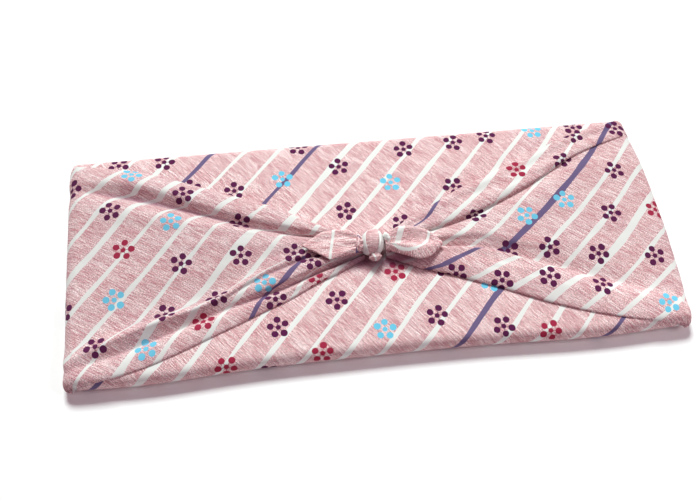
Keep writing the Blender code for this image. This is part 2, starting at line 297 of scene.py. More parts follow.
# ------------------------------------------------------------------ meshes
def cloth_place(u, v):
    """The place on the print of a point u along X and v along Y over the cloth."""
    return np.stack([u * sin(LEAN) - v * cos(LEAN), u * cos(LEAN) + v * sin(LEAN)], -1)


def build(name, points, faces, corner_places, stripes, blossoms, material, corner_flats=None,
          tone=1.0, skew=0.0, hollow=0.0):
    """A piece from its points and faces, with the print's places at the corner of every face.
    The stripes follow the places, which slide where the cloth is pulled askew and skip what
    its small folds take up; the blossoms and the threads follow the flats, which do neither."""
    corner_flats = corner_places if corner_flats is None else corner_flats
    mesh = bpy.data.meshes.new(name)
    shifted = points - np.array([CENTRE_X, CENTRE_Y, 0.0])
    mesh.from_pydata(shifted.tolist(), [], [tuple(f) for f in faces])
    layer = mesh.uv_layers.new(name="Cloth")
    layer.data.foreach_set("uv", np.concatenate(corner_places).astype(np.float32).ravel())
    layer = mesh.uv_layers.new(name="Flat")
    layer.data.foreach_set("uv", np.concatenate(corner_flats).astype(np.float32).ravel())
    middles = [np.array([c.mean(0) for c in corners]) for corners in (corner_places, corner_flats)]
    chart_on(mesh, *middles, stripes, blossoms)
    # a factor that scales the cloth's colour down, how far its threads run askew to the stripes, and how much shade is
    # painted into its colour
    both = np.zeros((len(faces), 3), np.float32)
    both[:, 0], both[:, 1], both[:, 2] = tone, skew, hollow
    mesh.attributes.new("cloth", "FLOAT_VECTOR", "FACE").data.foreach_set("vector", both.ravel())
    mesh.polygons.foreach_set("use_smooth", np.ones(len(faces), bool))
    mesh.materials.append(material)
    mesh.update()
    piece = bpy.data.objects.new(name, mesh)
    bpy.context.scene.collection.objects.link(piece)
    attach(piece, "root")
    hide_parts("furoshiki")
    return piece


def grid_faces(rows, columns, wrap=False, flip=False):
    i, j = np.meshgrid(np.arange(rows - 1), np.arange(columns if wrap else columns - 1), indexing="ij")
    k = (j + 1) % columns
    quads = np.stack([i * columns + j, i * columns + k, (i + 1) * columns + k, (i + 1) * columns + j], -1)
    quads = quads.reshape(-1, 4)
    return quads[:, ::-1] if flip else quads


def normals_of(grid, sign=1.0):
    """Outward directions over a grid of points [row, column, axis]."""
    one = np.gradient(grid, axis=0)
    two = np.gradient(grid, axis=1)
    away = np.cross(one, two) * sign
    return away / np.maximum(np.linalg.norm(away, axis=-1, keepdims=True), 1e-12)


def sheet_piece(name, grid, places, flats, stripes, blossoms, material, tone, skew, flip=False, thick=CLOTH,
                hollow=None):
    """A thin closed sheet: the grid is its printed face, and its other face lies thick below."""
    rows, columns = grid.shape[:2]
    away = normals_of(grid, -1.0 if flip else 1.0)
    points = np.concatenate([grid.reshape(-1, 3), (grid - away * thick).reshape(-1, 3)])
    count = rows * columns
    top = grid_faces(rows, columns, flip=flip)
    below = top[:, ::-1] + count
    edge = [j for j in range(columns)] + [i * columns + columns - 1 for i in range(1, rows)]
    edge += [(rows - 1) * columns + j for j in range(columns - 2, -1, -1)]
    edge += [i * columns for i in range(rows - 2, 0, -1)]
    side = []
    for a, b in zip(edge, edge[1:] + edge[:1]):
        side.append((b, a, a + count, b + count) if not flip else (a, b, b + count, a + count))
    faces = np.concatenate([top, below, np.array(side)])
    corners = [list(np.concatenate([p.reshape(-1, 2)] * 2)[faces]) for p in (places, flats)]
    row_tone = np.concatenate([tone.reshape(-1)] * 2)[faces].mean(1)
    # painted shade: how much each face's colour is darkened in folds and under the knot
    deep = 0.0 if hollow is None else np.concatenate([hollow.reshape(-1)] * 2)[faces].mean(1)
    return build(name, points, faces, corners[0], stripes, blossoms, material, corners[1], row_tone, skew, deep)


def body_piece(material):
    at_x, at_y = surface_stations(LENGTH / 2), surface_stations(DEPTH / 2)
    a, b = np.meshgrid(at_x, at_y, indexing="ij")
    grid = parcel_points(a, b)
    rows, columns = a.shape
    edge = [i * columns for i in range(rows - 1)]
    edge += [(rows - 1) * columns + j for j in range(columns - 1)]
    edge += [i * columns + columns - 1 for i in range(rows - 1, 0, -1)]
    edge += [j for j in range(columns - 1, 0, -1)]
    points = [grid.reshape(-1, 3)]
    loop = grid.reshape(-1, 3)[edge].copy()
    loop[:, 2] = 0.0
    points[0][edge] = loop
    rings = 22
    faces = [grid_faces(rows, columns, flip=True)]
    count, total = rows * columns, len(edge)
    before = np.array(edge)
    for k in range(1, rings):
        ring = loop * np.array([1 - k / rings, 1 - k / rings, 0.0])
        here = count + np.arange(total)
        points.append(ring)
        faces.append(np.stack([before, here, np.roll(here, -1), np.roll(before, -1)], 1))
        before, count = here, count + total
    points = np.concatenate(points + [np.zeros((1, 3))])
    quads = np.concatenate(faces)
    # the panel slips a little between the back and the front, under the wings
    slip = 16 * MM * ease((60 * MM - b) / (120 * MM))
    over = cloth_place(a + slip, b).reshape(-1, 2)
    flat = cloth_place(a, b).reshape(-1, 2)
    under = cloth_place(points[:, 0], DEPTH / 2 + pi * RUN + (DEPTH / 2 - points[:, 1]))
    top_count = (rows - 1) * (columns - 1)
    below = list(under[quads[top_count:]])
    last = [(int(before[k]), len(points) - 1, int(before[(k + 1) % total])) for k in range(total)]
    below += [under[list(f)] for f in last]
    faces = [tuple(int(v) for v in f) for f in quads] + last
    # painted shadow: the panel's colour is darkened in front of the knot, where the knot's shade falls
    knot_shadow_paint = painted_knot_shadow(points[:, 0], points[:, 1]) * (points[:, 2] > 20 * MM)
    deep = np.array([knot_shadow_paint[list(f)].mean() for f in faces])
    return build("wrap_body", points, faces, list(over[quads[:top_count]]) + below,
                 longer_stripes(PANEL_STRIPES), filled_blossoms(PANEL_BLOSSOMS, on_top), material,
                 list(flat[quads[:top_count]]) + below, 0.975, 0.165, deep)


# ------------------------------------------------------------------ the wings
NONE = (0,) * 6
LEFT_AT = (-445, -340, -240, -140, -60, -14)
LEFT_WING = (
    # name,             y at each station,                  height above the parcel there,
    #                   the cloth lost to small folds between the row before and this one,
    #                   and how far the cloth has slipped along X
    ("back tuck",       (166, 133, 93, 50, 6, -12),         (0.3, 0.3, 0.3, 0.3, 0.5, 2.0)),
    ("back foot",       (172, 149, 108, 64, 17, -9),        (0.4, 0.4, 0.5, 0.6, 1.0, 3.0)),
    ("back rise",       (169, 142, 101, 58, 15, -9),        (1.4, 5.0, 5.5, 6.5, 8.0, 8.0)),
    ("back slope",      (160, 132, 89, 47, 12, -10),        (2.4, 9.4, 9.6, 10.0, 12.0, 11.0)),
    ("back crest",      (145, 120, 74, 34, 7, -12),         (3.0, 12.4, 12.4, 12.2, 13.0, 12.0)),
    ("crest lip",       (139, 114, 70, 30.5, 5, -13),       (2.4, 10.4, 10.4, 10.0, 12.0, 11.5)),
    ("crest face",      (133, 107, 66, 26.5, 3, -14),       (1.8, 5.4, 5.0, 4.2, 8.0, 10.0)),
    ("back trough",     (126, 99, 61, 21.5, 1, -15),        (1.2, 0.4, 0.2, 0.3, 3.0, 7.0),    (0, 18, 14, 38, 38, 30)),
    ("second rise",     (118, 88, 50, 16.5, -2, -16),       (1.6, 8.0, 8.0, 5.0, 7.0, 10.0)),
    ("second crest",    (104, 70, 35, 8, -7, -18),          (2.6, 16.0, 16.0, 11.5, 10.5, 11.0)),
    ("middle, back",    (60, 32, 4, -6, -11, -20),          (2.8, 11.5, 13.5, 11.0, 10.5, 11.0)),
    ("middle, front",   (-60, -40, -38, -22, -14.5, -22),   (2.0, 5.0, 7.5, 8.5, 9.5, 10.0)),
    ("third rise",      (-132, -98, -75, -33, -17, -23),    (1.0, 1.0, 2.4, 9.0, 10.0, 10.5)),
    ("third crest",     (-150, -112, -86, -40, -20.5, -24), (2.6, 11.0, 13.0, 9.0, 9.5, 10.5), (6, 25, 37, 54, 55, 50)),
    ("third dip",       (-153, -116.5, -90, -44.5, -23.5, -25), (2.2, 8.4, 9.6, 5.5, 6.5, 9.5)),
    ("lower crest",     (-155, -120.5, -93, -54, -31, -28), (1.9, 6.0, 6.8, 11.5, 12.0, 11.0)),
    ("lower lip",       (-157, -124.5, -96, -66, -40, -30), (1.5, 3.8, 4.0, 11.0, 12.5, 10.5)),
    ("third under",     (-159, -128, -98, -69.5, -42.5, -31.5), (1.2, 1.8, 1.8, 4.5, 6.5, 8.0), (0, 0, 2, 14, 34, 30)),
    ("dark valley",     (-162, -132, -101, -73.5, -44.5, -32.5), (1.0, 0.4, 0.2, 0.3, 0.4, 3.0)),
    ("front shoulder",  (-168, -137, -106, -79.5, -48, -33.5), (1.8, 3.4, 3.6, 2.4, 2.6, 5.0)),
    ("front roll",      (-175, -145, -113, -83, -50.5, -35), (2.2, 4.4, 5.6, 5.8, 6.4, 8.0)),
    ("front lip",       (-181, -159.5, -128, -90.5, -55, -37), (1.8, 3.0, 3.6, 4.0, 4.6, 6.0)),
    ("front edge",      (-184.5, -163.5, -132, -95, -58, -38), (1.0, 1.4, 1.6, 1.9, 2.3, 3.0)),
    ("turned edge",     (-184, -163, -131.5, -94.5, -57.5, -37.5), (0.4, 0.5, 0.5, 0.5, 0.6, 0.8)),
    ("front tuck",      (-175, -150, -118, -82, -46, -32),  (0.3, 0.3, 0.3, 0.3, 0.3, 0.3)),
)
RIGHT_AT = (445, 340, 240, 140, 60, 14)
RIGHT_WING = (
    ("back tuck",       (170, 136, 92, 47, 8, -12),         (0.3, 0.3, 0.3, 0.3, 0.5, 2.0), NONE, (-8, -10, 0, 2, -6, -6)),
    ("back foot",       (177, 147, 105, 61, 18, -9),        (0.4, 0.4, 0.4, 0.4, 1.0, 3.0), NONE, (-8, -10, 0, 2, -6, -6)),
    ("back shoulder",   (178, 150, 108.5, 65, 21.5, -8),    (0.8, 2.2, 3.6, 5.0, 7.0, 7.0), NONE, (-8, -10, 0, 2, -6, -6)),
    ("first crest",     (172, 142, 99.5, 56, 14, -11),      (1.8, 5.0, 7.0, 8.5, 11.5, 11.5), NONE, (-8, -10, 0, 2, -6, -6)),
    ("first dip",       (166, 133, 88, 46, 8, -13),         (1.4, 3.8, 5.4, 7.0, 10.0, 11.0), NONE, (-8, -10, 0, 2, -6, -6)),
    ("overlap crest",   (154, 119, 66, 24, -1, -16),        (2.0, 7.6, 9.4, 9.6, 11.0, 11.5), NONE, (-8, -10, 0, 10, 12, 12)),
    ("overlap edge",    (147, 111.5, 58, 16, -6, -18),      (1.6, 5.6, 6.2, 6.2, 8.5, 10.5), NONE, (-8, -10, 0, 12, 18, 18)),
    ("overlap tuck",    (148.5, 114, 60.5, 18.5, -5, -18),  (1.2, 3.4, 2.6, 2.0, 4.0, 9.0), NONE, (-8, -10, 0, 12, 18, 18)),
    ("lower layer",     (143, 106, 53, 12, -9, -19),        (1.2, 3.4, 2.0, 1.2, 3.5, 9.0), NONE, (-8, -9, 0, 12, 18, 18)),
    ("middle, back",    (104, 78, 40, 4, -13, -21),         (2.6, 8.6, 8.6, 6.5, 8.0, 11.0), NONE, (-8, -8, 1, 13, 19, 19)),
    ("middle",          (40, 10, -2, -6, -16, -22),         (2.2, 7.0, 8.4, 9.0, 9.5, 11.0), NONE, (0, 0, 7, 14, 20, 20)),
    ("middle, front",   (-40, -56, -42, -16, -17.5, -24),   (1.8, 5.8, 8.6, 10.2, 10.5, 10.5), NONE, (0, 8, 13, 19, 27, 27)),
    ("front fall",      (-112, -88, -58, -24.5, -21.5, -25), (1.4, 3.0, 3.2, 4.4, 5.2, 8.0), NONE, (5, 16, 14, 27, 34, 34)),
    ("front valley",    (-150, -109, -70, -33, -27, -28),   (0.9, 0.5, 0.2, 0.3, 0.4, 4.0), NONE, (11, 23, 16, 30, 38, 38)),
    ("roll shoulder",   (-154, -114, -73, -37.5, -28.5, -28.5), (1.4, 3.2, 4.5, 4.5, 4.5, 7.0), NONE, (12, 26, 24, 42, 64, 68)),
    ("roll crest",      (-163, -123, -79, -42, -32.5, -31), (2.4, 6.6, 12.0, 13.5, 13.0, 11.5), NONE, (13, 28, 33, 56, 80, 84)),
    ("fat roll",        (-172, -138, -97, -57, -42.5, -33), (2.5, 6.6, 12.0, 13.5, 12.5, 11.0), NONE, (14, 33, 42, 65, 88, 92)),
    ("roll front",      (-180, -154, -120, -79, -54.5, -36.5), (2.0, 4.6, 7.0, 9.0, 9.0, 8.5), NONE, (15, 38, 50, 74, 96, 98)),
    ("front edge",      (-185.5, -161.5, -131.5, -91, -61, -38.5), (1.2, 1.7, 2.2, 2.7, 3.2, 4.0), NONE, (16, 42, 52, 80, 108, 108)),
    ("turned edge",     (-185, -160.5, -130.5, -90, -60, -37.5), (0.5, 0.5, 0.6, 0.6, 0.7, 1.0), NONE, (16, 42, 52, 80, 108, 108)),
    ("front tuck",      (-175, -148, -117, -76, -48, -33),  (0.3, 0.3, 0.3, 0.3, 0.3, 0.3), NONE, (16, 42, 52, 80, 108, 108)),
)
# A crease is a soft trough (below 0) or ridge (above 0) along a bowed line on a wing:
# from, to, how far its middle bows towards -Y, how wide and how high, in millimetres.
LEFT_CREASES = (
    ((-400, 60), (-90, -6), 4, 9, -0.6),
    ((-330, 10), (-70, -14), -3, 7, 0.5),
    ((-430, -70), (-120, -26), 5, 10, -0.6),
    ((-300, -52), (-60, -20), 4, 6, 0.45),
    ((-250, 30), (-40, -12), 3, 4, -0.5),
    ((-200, -118), (-60, -48), 2, 4, -0.7),
    ((-230, 88), (-70, 18), -2, 3.5, -0.5),
)
RIGHT_CREASES = (
    ((390, 120), (110, 46), 9, 6, -1.3),
    ((400, 128), (150, 68), 9, 5, 0.6),
    ((420, 60), (110, 0), 4, 9, -0.6),
    ((350, 20), (80, -10), 0, 8, 0.5),
    ((400, -40), (120, -22), -4, 10, -0.7),
    ((300, -50), (90, -20), 2, 6, 0.45),
    ((260, 52), (60, -4), 3, 3.5, 0.6),
    ((200, 28), (50, -8), 2, 3, -0.6),
    ((300, -116), (90, -44), 3, 5, -0.7),
    ((240, -92), (60, -36), 2, 3.5, 0.6),
)


def creases_at(x, y, creases):
    rise = np.zeros_like(x)
    for start, end, bow, wide, high in creases:
        off, t = from_line(x, y, start, end)
        side = 1 if end[0] > start[0] else -1
        off = off * side - 4 * bow * MM * np.clip(t * (1 - t), 0, 1)
        tip = ease(t / 0.22) * ease((1 - t) / 0.22)
        rise += high * MM * np.exp(-(off / (wide * MM)) ** 2) * tip
    return rise


def wing_grid(at, rows, creases, middle_row, seed):
    """The wing's points, and its places on the cloth."""
    side = -1 if at[0] < 0 else 1
    end = LENGTH / 2 - ROLL
    at = np.array(at, float)
    turns = WRAP_TURN * np.arange(14, 0, -1) / 14
    inner = np.arange(end, abs(at[-1]) * MM, -MESH * 0.9)
    distance = np.concatenate([end + ROLL * np.sin(turns), inner])
    turn = np.concatenate([turns, np.zeros(len(inner))])
    station = np.interp(-np.where(turn > 0, abs(at[0]) * MM, distance), -np.abs(at) * MM, np.arange(len(at)))
    tuck = 1 - END_TUCK * ease(turn / WRAP_TURN)
    lines = np.array([np.stack([along(r[1], station) * tuck, along(r[2], station)], 1) for r in rows]) * MM
    span = np.sqrt((np.diff(lines, axis=0) ** 2).sum(-1)).max(1)
    counts = [max(3, int(round(s / MESH))) for s in span]
    section = through(lines, counts)                      # [across, along, (y, h)]
    y, h = section[..., 0], section[..., 1]
    step = np.sqrt((np.diff(section, axis=0) ** 2).sum(-1))
    real = np.concatenate([np.zeros((1, step.shape[1])), np.cumsum(step, 0)])
    lost = [along(r[3] if len(r) > 3 else (0,) * len(at), station) * MM for r in rows[1:]]
    step = step + np.repeat(np.array(lost) / np.array(counts)[:, None], counts, axis=0)
    arc = np.concatenate([np.zeros((1, step.shape[1])), np.cumsum(step, 0)])
    k = sum(counts[:middle_row])
    v = (arc[k] - arc) / tuck + y[k] / tuck
    flat_v = (real[k] - real) / tuck + y[k] / tuck
    x = np.broadcast_to(side * distance, y.shape)
    u = side * np.where(turn > 0, end + RUN * turn, distance)
    slip = np.array([along(r[4] if len(r) > 4 else (0,) * len(at), station) for r in rows])[..., None] * MM
    flats = cloth_place(u, flat_v)
    u = u + through(slip, counts)[..., 0]
    low = 0.25 * MM
    near_knot = ease(1 - np.abs(x) / 0.30)
    soft = ease(h / (1.5 * MM))
    fan = np.arctan2(y + 0.022, np.abs(x) + 0.012) * 18
    h = h + soft * (creases_at(x, y, creases)
                    + 0.42 * MM * near_knot * ripple(fan * 2.1, np.abs(x) / 0.09, seed)
                    + 0.28 * MM * ripple(fan * 1.1 + 9, np.abs(x) / 0.14, seed + 1)
                    + 0.25 * MM * ripple(x / 0.045, y / 0.03, seed + 2)
                    + 0.10 * MM * ripple(x / 0.016, y / 0.012, seed + 3))
    h = np.maximum(h, low)
    fade = np.minimum(1.0, turn / WRAP_TURN) ** 3
    h = h - (h + 1.2 * MM) * fade
    z = rim_height(x, y, turn) + h * np.cos(turn)
    px, py = outline(x, y)
    grid = np.stack([px + h * side * np.sin(turn), py, z], -1)
    return grid, cloth_place(u, v), flats


LEFT_STRIPES = (
    (-430, 9, WHITE), (-386, 8, WHITE), (-345, 9, WHITE), (-307, 12, WHITE), (-268, 8, WHITE),
    (-226, 9, WHITE), (-188, 7, WHITE), (-143, 15, WHITE), (-104, 9, WHITE), (-62, 10, WHITE),
    (-20, 9, SLATE), (22, 9, WHITE), (62, 9, WHITE), (102, 9, WHITE),
)
LEFT_BLOSSOMS = (
    (-358, -121, SKY, 43), (-330, -196, PLUM, 4), (-271, -104, PLUM, 8),
    (-246, -159, SKY, 9), (-273, -233, CRIMSON, 25), (-192, -202, PLUM, 28),
    (-131, -143, PLUM, 18), (-174, -92, PLUM, 4), (-411, -197, PLUM, 34),
    (-234, -296, SKY, 70), (-162, -272, PLUM, 62), (-207, -362, PLUM, 53),
    (-147, -329, SKY, 2), (-106, -258, CRIMSON, 15), (-44, -175, PLUM, 22),
    (-76, -159, SKY, 25), (-116, -215, PLUM, 69), (-72, -95, PLUM, 22),
    (-43, -92, PLUM, 68), (-8, -120, CRIMSON, 23), (-281, -351, PLUM, 6),
)
RIGHT_STRIPES = (
    (-42, 9, WHITE), (-2, 8, WHITE), (41, 8, SLATE), (82, 12, WHITE), (120, 10, WHITE), (151, 8, WHITE),
    (187, 11, SLATE), (227, 9, WHITE), (265, 9, WHITE), (305, 13, WHITE), (345, 9, WHITE),
    (385, 9, WHITE), (427, 9, WHITE),
)
RIGHT_BLOSSOMS = (
    (109, 233, CRIMSON, 16), (161, 287, PLUM, 36), (153, 347, PLUM, 65),
    (205, 400, PLUM, 27), (238, 313, PLUM, 67), (200, 216, SKY, 14),
    (168, 158, SKY, 46), (105, 120, PLUM, 61), (267, 238, PLUM, 38),
    (320, 288, CRIMSON, 30), (221, 132, PLUM, 3), (283, 166, PLUM, 44),
    (353, 214, PLUM, 3), (248, 83, PLUM, 31), (312, 124, PLUM, 31),
    (404, 160, SKY, 3), (199, 37, PLUM, 57), (143, 6, PLUM, 57),
    (176, 93, PLUM, 71),
)


def off_end(p, q):
    x, y = plan(p, q)
    return abs(x) < 452


def painted_fold_shade(z):
    """Painted shade for the folds: how deep each point lies between its neighbours across the wing, eased into how much
    its colour is darkened.
    """
    reach = 5
    wide = np.concatenate([np.repeat(z[:1], reach, 0), z, np.repeat(z[-1:], reach, 0)])
    around = sum(wide[k:k + len(z)] for k in range(2 * reach + 1)) / (2 * reach + 1)
    return ease((around - z - 0.9 * MM) / (3.2 * MM))


def painted_knot_shadow(x, y):
    """Painted shadow: how strongly the colour is darkened in front of the knot and under the two free ends, where their
    shade falls.
    """
    return 1.35 * np.exp(-((x / MM - 10) / 68) ** 4 - ((y / MM + 44 + 0.05 * x / MM) / 11) ** 2)


def wing_piece(name, at, rows, creases, middle_row, seed, stripes, blossoms, tones, skew, material):
    grid, places, flats = wing_grid(at, rows, creases, middle_row, seed)
    depth = grid[..., 1] / MM + 22
    # the cloth's colour is scaled by tones[0] on the back rows and by tones[1] towards the front
    tone = tones[0] + (tones[1] - tones[0]) * ease((-depth / (0.30 * np.abs(grid[..., 0]) / MM + 8) - 0.55) / 0.35)
    # painted shade: the colour is darkened in the folds' hollows and in front of the knot, and a little over the whole
    # wing, more on the left one
    return sheet_piece(name, grid, places, flats, longer_stripes(stripes),
                       filled_blossoms(blossoms, off_end), material, tone, skew, flip=at[0] < 0,
                       hollow=np.maximum(painted_fold_shade(grid[..., 2]), painted_knot_shadow(grid[..., 0], grid[..., 1]))
                       + (0.12 if at[0] < 0 else 0.02))


# ------------------------------------------------------------------ knot and ends
KNOT = (
    # x,    y,    z,    half_y, half_z
    (-17.6, -21,  43,   4,      3.5),
    (-16.8, -21,  43.5, 8.5,    7.5),
    (-14.5, -21.5, 44.5, 14,    12),
    (-10.5, -22,  45.4, 18.6,   16),
    (-5,    -22,  46,   21.4,   18.3),
    (1,     -22,  46,   22,     19),
    (7,     -22.5, 45.8, 20.6,  17.6),
    (11.5,  -23,  45,   17.2,   14.6),
    (14.8,  -23,  44,   12.2,   10.2),
    (16.4,  -23.5, 43,  6.5,    5.2),
)


def tube_grid(sections, around, steps):
    """Rings of points through sections of x, y, z, half_y, half_z, starting at the back."""
    table = np.array(sections, float)
    fine = through(table[:, None, :], [steps] * (len(table) - 1))[:, 0]
    w = 2 * pi * np.arange(around) / around
    x = np.repeat(fine[:, 0:1], around, 1)
    y = fine[:, 1:2] + fine[:, 3:4] * np.cos(w)
    z = fine[:, 2:3] + fine[:, 4:5] * np.sin(w)
    return np.stack([x, y, z], -1) * MM, w


def closed_piece(name, grid, places, stripes, blossoms, material, flip=False):
    """A closed form from rings of points, its two ends filled by fans."""
    rows, columns = grid.shape[:2]
    points = np.concatenate([grid.reshape(-1, 3), grid[0].mean(0)[None], grid[-1].mean(0)[None]])
    flat = np.concatenate([places.reshape(-1, 2), places[0].mean(0)[None], places[-1].mean(0)[None]])
    quads = grid_faces(rows, columns, wrap=True, flip=flip)
    faces = [tuple(int(v) for v in f) for f in quads]
    corner = []
    step = places[:, 1] - places[:, 0]
    for n, f in enumerate(quads):
        c = flat[f].copy()
        if (n % columns) == columns - 1:            # the seam: its far side is one round further on
            i = n // columns
            for m, vertex in enumerate(f):
                if vertex % columns == 0:
                    r = vertex // columns
                    c[m] = flat[r * columns + columns - 1] + step[r]
        corner.append(c)
    first, last = rows * columns, rows * columns + 1
    for k in range(columns):
        n = (k + 1) % columns
        a = (first, n, k) if not flip else (first, k, n)
        b = (last, (rows - 1) * columns + k, (rows - 1) * columns + n)
        b = b if not flip else (b[0], b[2], b[1])
        for f in (a, b):
            faces.append(f)
            corner.append(flat[list(f)])
    return build(name, points, faces, corner, stripes, blossoms, material)


def knot_piece(material):
    """The band over the knot.  Its folds and stripes run like the seams of a ball, from its
    back pole to its front one."""
    grid, w = tube_grid(KNOT, 132, 8)
    x, y, z = grid[..., 0], grid[..., 1], grid[..., 2]
    turn = np.broadcast_to(w, x.shape)
    across = (y / MM + 22) / 24
    seam = x / MM / np.maximum(0.35, np.sqrt(np.maximum(0.0, 1 - across ** 2)))
    middle = np.array([0, -22.5, 45]) * MM
    out = grid - middle
    out[..., 0] *= 0.25
    out /= np.linalg.norm(out, axis=-1, keepdims=True)
    fade = 1 - 0.4 * np.abs(across)
    rise = -3.6 * fade * np.exp(-((seam - 9.6) / 1.15) ** 2) + 1.2 * fade * np.exp(-((seam - 6.6) / 2.0) ** 2)
    rise += -0.9 * fade * np.exp(-((seam + 10.5) / 1.1) ** 2) + 0.4 * np.exp(-((seam + 4) / 3.5) ** 2)
    rise += 0.45 * ripple(seam / 3.1 + 20, turn * 1.1, 21) + 0.25 * ripple(seam / 1.6 + 20, turn * 2.4, 22)
    grid = grid + out * (rise * MM)[..., None]
    grid[..., 0] += 0.10 * (grid[..., 1] + 22 * MM) - 2.6 * MM
    grid[..., 1] = (grid[..., 1] + 20 * MM) * 0.88 - 18.5 * MM
    places = np.stack([seam * MM, turn * 20 * MM], -1)
    stripes = ((-16.5, 13, WHITE), (16.0, 13.5, WHITE), (90, 9, WHITE), (-90, 9, WHITE))
    return closed_piece("knot_band", grid, places, stripes, (), material, flip=True)


# The two free ends.  Each is a flattened ring of cloth, given by rows along it from the
# knot to its tip: y, then z, at each x.
LEFT_EAR_AT = (-17, -27, -39, -54, -72, -88, -106)
LEFT_EAR = (
    # name,          y at each x,                                   z at each x,                            reach
    ("back under",   (-19, -12, -3,  0,   -1,   -7.5, -17.5),       (45, 45, 45, 44.6, 44.4, 44.5, 45.2),   0.97),
    ("back edge",    (-15, -7,   1,   5.5,  4,   -4,  -16),         (48, 49, 48.8, 48.2, 47.6, 47.2, 47),   1.0),
    ("back ridge",   (-16, -9,  -3,   1.5,  0.5, -7,  -17.5),       (54, 55, 54, 52.8, 51.4, 50, 48.4),     0.98),
    ("back hollow",  (-19, -15, -11, -8,   -9,   -14, -21),         (53, 53, 51.4, 50.6, 50, 49.2, 48.3),   0.90),
    ("middle ridge", (-22, -20, -18, -17,  -18,  -21.5, -26.5),     (57, 56, 53.4, 51.8, 50.8, 49.6, 48.2), 0.80),
    ("front hollow", (-25, -25, -25, -26,  -27,  -28.5, -31.5),     (54, 53, 51, 50.2, 49.8, 49, 48),       0.72),
    ("front ridge",  (-28, -29.5, -31, -32.5, -34, -35.5, -38),     (54, 53.4, 52, 51.2, 50.4, 49.4, 48),   0.62),
    ("front edge",   (-31, -33.5, -35.5, -37, -38.8, -40.3, -42),   (47, 47, 47, 47, 47, 46.8, 46.6),       0.568),
    ("front under",  (-28, -29, -31, -34,  -36,  -37.5, -39),       (43, 43.5, 43.8, 44, 44, 44.4, 45),     0.60),
)
RIGHT_EAR_AT = (15, 24, 34, 47, 62, 77, 90, 98.5)
RIGHT_EAR = (
    ("back under",   (-17, -13, -9,  -7,  -9,  -14, -23, -33),      (45, 45, 45, 45, 45.4, 46, 46.8, 47.6)),
    ("back edge",    (-12, -8,  -3,  -1.5, -4,  -9.5, -21, -33),    (48, 50, 51, 51, 51, 51, 50.4, 49.6)),
    ("back ridge",   (-14, -10, -6,  -5,  -8,  -14, -24, -33.4),    (53, 56, 58, 58, 57, 55.4, 52.6, 50.4)),
    ("hollow back",  (-17, -14, -12, -13, -16, -21, -28, -33.8),    (54, 56, 57, 56, 54.4, 53, 52, 50.6)),
    ("hollow",       (-21, -20, -20, -21, -24, -27, -31, -34),      (54, 54.5, 53.5, 52, 51.4, 52, 52, 50.7)),
    ("fold edge",    (-24, -25, -26, -27.5, -30, -32, -33.5, -34.4), (51, 51, 50, 50, 51.4, 53, 52.4, 50.7)),
    ("lip crest",    (-26, -28, -30.5, -34, -38, -38.5, -36.5, -34.8), (53, 54.6, 56, 57, 57, 55.8, 53, 50.6)),
    ("lip front",    (-30, -33, -37, -42, -47, -46, -40, -35.1),    (51, 52.4, 54, 55, 54.6, 53.4, 51.8, 50.2)),
    ("front edge",   (-34, -38, -43, -49.5, -55, -52.5, -43, -35.5), (46, 46.5, 47.5, 48.5, 49, 49, 49, 49)),
    ("front under",  (-30, -33, -38, -44, -49, -47, -41, -35),      (43, 44, 44.5, 45.2, 45.6, 46, 46.8, 47.5)),
)


def ear_grid(at, rows, seed):
    """Rings of points over a free end, and how far each ring is from the knot, from 0 to 1."""
    at = np.array(at, float)
    side = 1 if at[-1] > 0 else -1
    fine = np.arange(abs(at[0]), abs(at[-1]), 1.1)
    station = np.interp(fine, np.abs(at), np.arange(len(at)))
    lines = []
    for row in rows:
        reach = row[3] if len(row) > 3 else 1.0
        x = side * (fine[0] + (fine - fine[0]) * reach)
        lines.append(np.stack([x, along(row[1], station), along(row[2], station)], 1))
    lines = np.array(lines)
    counts = [7] * len(rows)
    ring = through(lines, counts, closed=True).transpose(1, 0, 2)
    x, y, z = ring[..., 0], ring[..., 1], ring[..., 2]
    far = np.clip((np.abs(x) - 17) / 85, 0, 1)
    upper = ease((z - 46.5) / 3)
    fan = np.arctan2(y + 22, np.abs(x) - 6)
    near = (1 - far) ** 2
    lift = (0.9 * near * ripple(fan * 9, far * 2.2, seed) + 0.55 * near * ripple(fan * 19, far * 3.5, seed + 1)
            + 0.35 * ripple(fan * 7 + 3, far * 2.0 + 5, seed + 2) + 0.22 * ripple(x / 9, y / 7, seed + 3))
    ring = np.stack([x, y, z + upper * lift], -1)
    return ring * MM, far


def ear_piece(name, at, rows, seed, places_of, stripes, blossoms, material):
    grid, far = ear_grid(at, rows, seed)
    places = places_of(grid[..., 0] / MM, grid[..., 1] / MM) * MM
    return closed_piece(name, grid, places, stripes, blossoms, material, flip=at[-1] > 0)


def left_places(x, y):
    return np.stack([x - 0.21 * y, y + 0.21 * x], -1)


def right_places(x, y):
    """Straight across near the knot, then round the hollow, as the cloth is folded there."""
    far = np.sqrt((x - 50) ** 2 + (y + 11) ** 2)
    round_ = np.maximum(ease((x - 52) / 10), ease((-27.5 - y) / 2.0))
    p = (x - 0.43 * y) * (1 - round_) + (50 + far) * round_
    q = y * (1 - round_) + 30 * np.arctan2(y + 11, x - 50) * round_
    return np.stack([p, q], -1)


